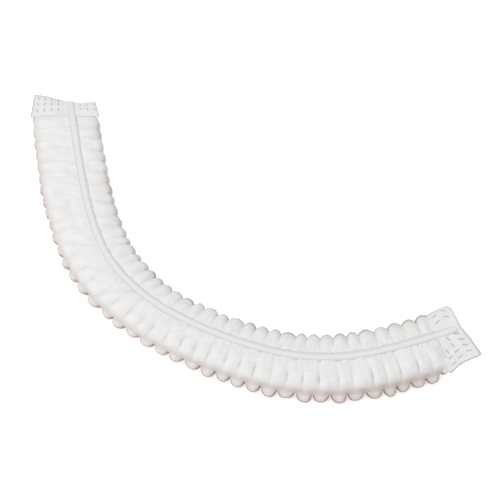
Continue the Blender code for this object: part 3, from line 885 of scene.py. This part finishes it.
def nonwoven(name, creased):
    """Nonwoven for the gathered cloth, with its creases, or for a tab, with its dashes."""
    paint = Paint(name)
    uv = paint.node("ShaderNodeUVMap", {"uv_map": "cloth"}, {}).outputs[0]
    fibres = paint.value("ShaderNodeTexNoise", {}, {
        "Vector": paint.scaled(uv, FIBRES_PER_METRE), "Scale": 1.0, "Detail": 3.0, "Roughness": 0.6,
    })
    blotches = paint.value("ShaderNodeTexNoise", {}, {
        "Vector": uv, "Scale": BLOTCHES_PER_METRE, "Detail": 2.0, "Roughness": 0.5,
    })
    points = paint.value("ShaderNodeTexVoronoi", {"feature": "F1"}, {
        "Vector": paint.scaled(uv, BONDS_PER_METRE), "Scale": 1.0, "Randomness": 0.25,
    })
    tone = fibres * FIBRES_IN_TONE + blotches * (1.0 - FIBRES_IN_TONE)
    if creased:
        # Painted shade on turned edges and in creases; the crease share also holds the stitches.
        dark = paint.share("turned") * TURNED_DARK + paint.share("crease")
    else:
        # Dark dashes, painted shade on the rim, and the tabs a little darker all over.
        dark = paint.share("dash") * DASH_DARK + paint.share("rim") * RIM_DARK + TAB_DARK
    relief = fibres * 0.5 + points * 0.5
    paint.fill(paint.shader, {
        "Base Color": paint.mix(dark, paint.mix(tone, THIN_WHITE, WHITE), SHADED),
        "Roughness": 0.85,
        "Specular IOR Level": 0.25,
        "Sheen Weight": 0.15,
        "Normal": paint.bump(relief, FIBRE_DEPTH),
    })
    return paint.material


cloth.data.materials.append(nonwoven("nonwoven_gathered", True))
for tab in tabs:
    tab.data.materials.append(nonwoven("nonwoven_" + tab.name, False))
print("nonwoven on", cloth.name, "and the tabs")

# %% [markdown]
# ## Elastic
# The elastic is a shade yellower than the cloth, and its two edges show as thin lines of small dark
# ticks where the ribs turn over.

# %% The elastic's material
RIBBON_WHITE = (0.78, 0.78, 0.77, 1.0)
RIBBON_GREY = (0.58, 0.595, 0.55, 1.0)
LINE_BETWEEN, LINE_IN_TICKS = 0.25, 0.75
RIB_DEPTH = 0.00002


def elastic():
    """The elastic's white, with a row of ticks along each edge."""
    paint = Paint("ribbed_elastic")
    ribs = paint.share("rib")
    line = paint.share("edge_line")
    ticks = line * (LINE_BETWEEN + LINE_IN_TICKS * (1.0 - ribs))
    paint.fill(paint.shader, {
        "Base Color": paint.mix(ticks, RIBBON_WHITE, RIBBON_GREY),
        "Roughness": 0.7,
        "Specular IOR Level": 0.3,
        "Normal": paint.bump(ribs, RIB_DEPTH),
    })
    return paint.material


ribbon.data.materials.append(elastic())
print("elastic on", ribbon.name)

# %% [markdown]
# ## Joining the pieces to the frame
# The strip doesn't move in itself, so every piece rides on the one body. The fine pieces stand for
# the CAD solids, which stay in the simulation and no longer show. The sheet's flat size is that of
# the cloth that is modelled here, measured along the strip with its tabs and around its folds.

# %% Riding, replacing and measuring
for piece in [cloth, ribbon] + tabs:
    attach(piece, "root")
for piece in [cloth] + tabs:
    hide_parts("cap_sheet")
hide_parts("elastic_band")
along_path = path_lengths(POINTS, 0)[-1].mean() + FIRST_TAB_LENGTH + LAST_TAB_LENGTH
around_path = path_lengths(POINTS, 1)[:, -1].mean()
print(f"measured along the cloth: {along_path:.3f} m long, {around_path:.3f} m around the folds")
[ribbon] + tabs

# %% [markdown]
# ## Floor and light
# The photograph is high-key: a white ground, a white object and almost no shadow. A pale floor with
# a little light of its own keeps the ground white. Two large soft lamps, one high behind and one
# in front on the left, shape the puffs, and a pale world fills the rest.

# %% The floor
FLOOR_SIZE = 6.0
FLOOR_BELOW = 0.0001
bpy.ops.mesh.primitive_plane_add(size=FLOOR_SIZE, location=(0.0, 0.0, -FLOOR_BELOW))
floor = bpy.context.object
floor.name = "pale_floor"
ground = Paint("pale_ground")
ground.fill(ground.shader, {
    "Base Color": (0.92, 0.92, 0.92, 1.0),
    "Roughness": 0.9,
    "Specular IOR Level": 0.0,
    "Emission Color": (1.0, 1.0, 1.0, 1.0),
    "Emission Strength": 0.35,
})
floor.data.materials.append(ground.material)
print("floor:", floor.name)

# %% Lamps and world
LAMP_SIZE = 1.5
WORLD_STRENGTH = 0.56


def soft_lamp(name, where, power):
    """A large round lamp that looks at the middle of the strip."""
    lamp = bpy.data.lights.new(name, "AREA")
    lamp.shape = "DISK"
    lamp.size = LAMP_SIZE
    lamp.energy = power
    made = bpy.data.objects.new(name, lamp)
    bpy.context.scene.collection.objects.link(made)
    made.location = where
    made.rotation_euler = (-Vector(where)).to_track_quat("-Z", "Y").to_euler()


soft_lamp("key_lamp", (-0.4, 0.5, 1.4), 9.0)
soft_lamp("front_lamp", (-0.6, -1.0, 1.0), 8.0)
world = bpy.data.worlds.new("pale_room")
world.use_nodes = True
background = world.node_tree.nodes["Background"]
background.inputs["Color"].default_value = (1.0, 1.0, 1.0, 1.0)
background.inputs["Strength"].default_value = WORLD_STRENGTH
bpy.context.scene.world = world
bpy.context.scene.view_settings.view_transform = "Standard"
print("two soft lamps and a pale world")

# %% [markdown]
# ## The camera
# The photograph looks down on the strip at a steep angle. Its own camera isn't known, so the angle
# and the distance are guessed and the lens follows from them: it is given as the pixels that its
# focal length would take up in a frame 500 pixels wide, which doesn't depend on the sensor's size.

# %% The photograph's view
CAMERA_DISTANCE = 0.9
CAMERA_ELEVATION = math.radians(57.0)
FRAME_PIXELS = 500.0
FOCAL_SHARE = 1800.0 / FRAME_PIXELS
AIM = Vector((0.0027, -0.0025, 0.0))
camera_data = bpy.data.cameras.new("photo_camera")
camera_data.sensor_fit = "HORIZONTAL"
camera_data.lens = FOCAL_SHARE * camera_data.sensor_width
camera_data.clip_start = 0.01
camera = bpy.data.objects.new("photo_camera", camera_data)
bpy.context.scene.collection.objects.link(camera)
view = Vector((0.0, math.cos(CAMERA_ELEVATION), -math.sin(CAMERA_ELEVATION)))
camera.location = AIM - CAMERA_DISTANCE * view
camera.rotation_euler = view.to_track_quat("-Z", "Y").to_euler()
bpy.context.scene.camera = camera
print("camera at", [round(value, 3) for value in camera.location])
